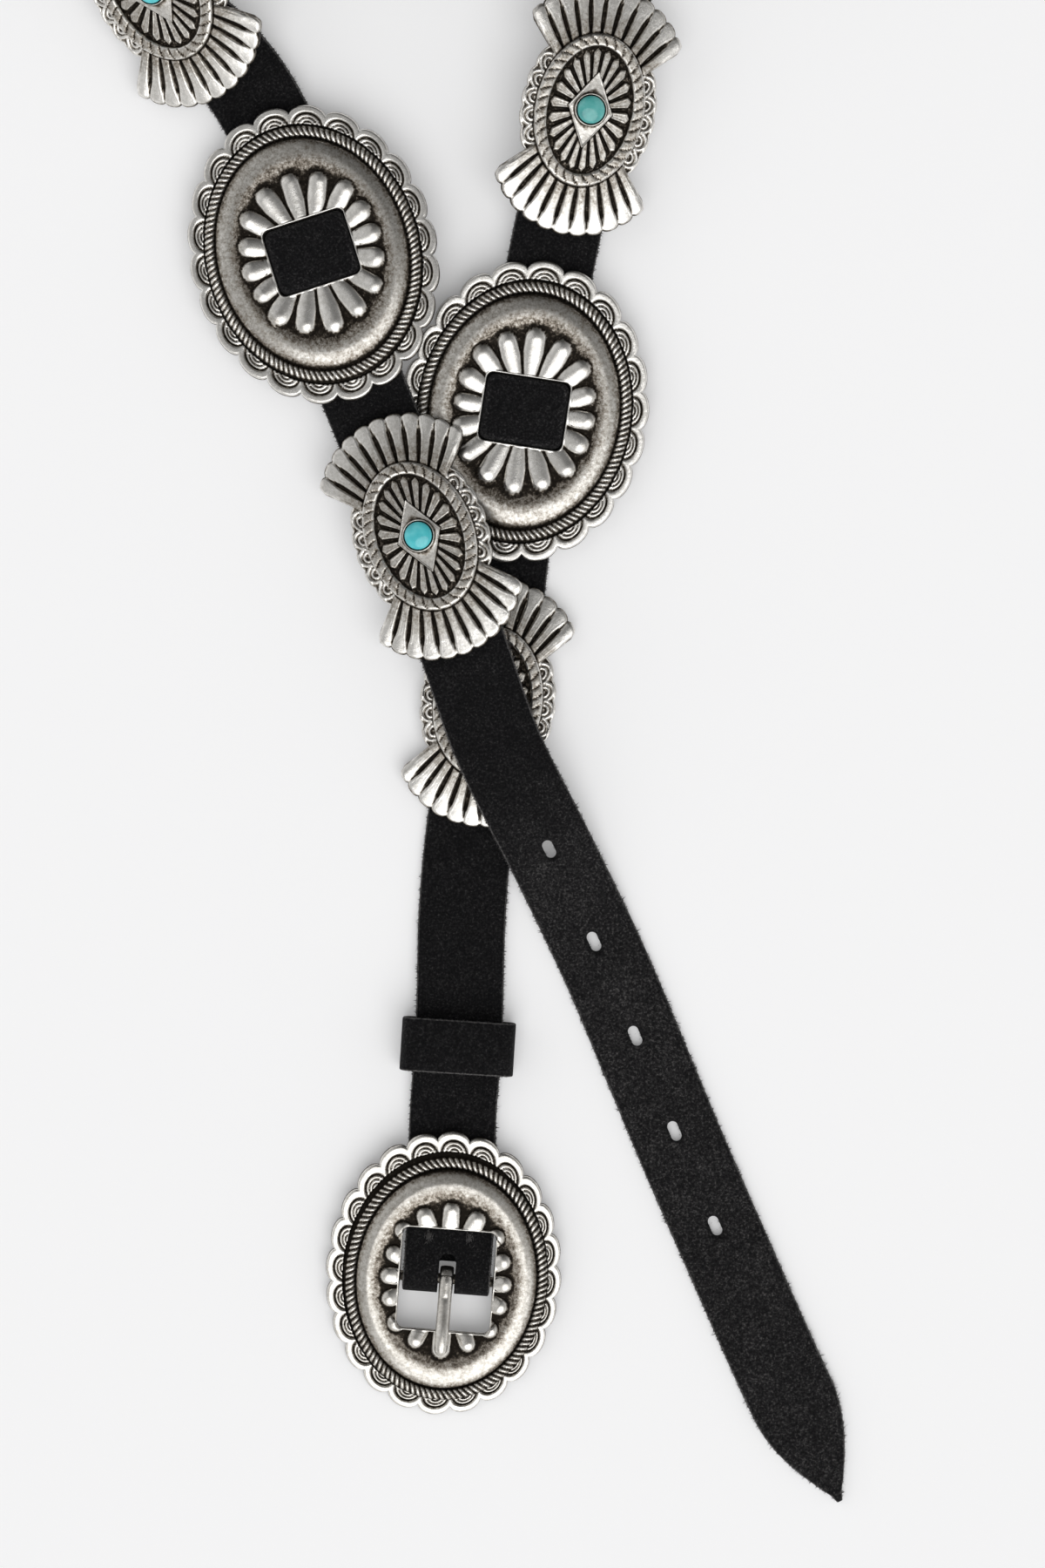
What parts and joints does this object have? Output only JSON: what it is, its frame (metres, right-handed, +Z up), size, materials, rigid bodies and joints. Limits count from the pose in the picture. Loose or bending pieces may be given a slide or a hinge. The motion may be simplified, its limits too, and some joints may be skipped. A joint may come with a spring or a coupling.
{
  "type": "concho belt",
  "caption": "Suede belt laid out in a crossed loop, with scalloped oval and winged metal conchos, blue-green stones and an oval frame buckle.",
  "frame": {"origin": "centre of the belt's footprint, on the surface it lies on", "axes": "+Z up from that surface, +Y from the buckle towards the far end of the loop, +X to the right seen from above with the buckle nearest"},
  "size_m": [0.232, 0.571, 0.0665],
  "materials": {
    "suede": "black suede, napped on both sides",
    "antique_silver": "cast, silver plated, darkened in the recesses and rubbed bright on top",
    "turquoise": "polished cabochon"
  },
  "bodies": {
    "belt": {"strap": "suede", "keeper": "suede", "plate_wing_a": "antique_silver", "plate_wing_b": "antique_silver", "plate_wing_c": "antique_silver", "plate_wing_d": "antique_silver", "plate_wing_e": "antique_silver", "plate_oval_a": "antique_silver", "plate_oval_b": "antique_silver", "plate_oval_c": "antique_silver", "plate_oval_d": "antique_silver", "stone_wing_a": "turquoise", "stone_wing_b": "turquoise", "stone_wing_c": "turquoise", "stone_wing_d": "turquoise", "stone_wing_e": "turquoise"},
    "buckle": {"buckle_frame": "antique_silver"},
    "tongue": {"prong": "antique_silver"}
  },
  "joints": [
    {"name": "buckle_swing", "type": "hinge", "parent": "belt", "child": "buckle", "pos_m": [-0.00004, -0.21999, 0.00492], "axis": [0.997, -0.078, 0], "range_deg": [0, 50]},
    {"name": "prong_lift", "type": "hinge", "parent": "buckle", "child": "tongue", "pos_m": [-0.00004, -0.21999, 0.00492], "axis": [-0.997, 0.078, 0], "range_deg": [0, 100]}
  ]
}
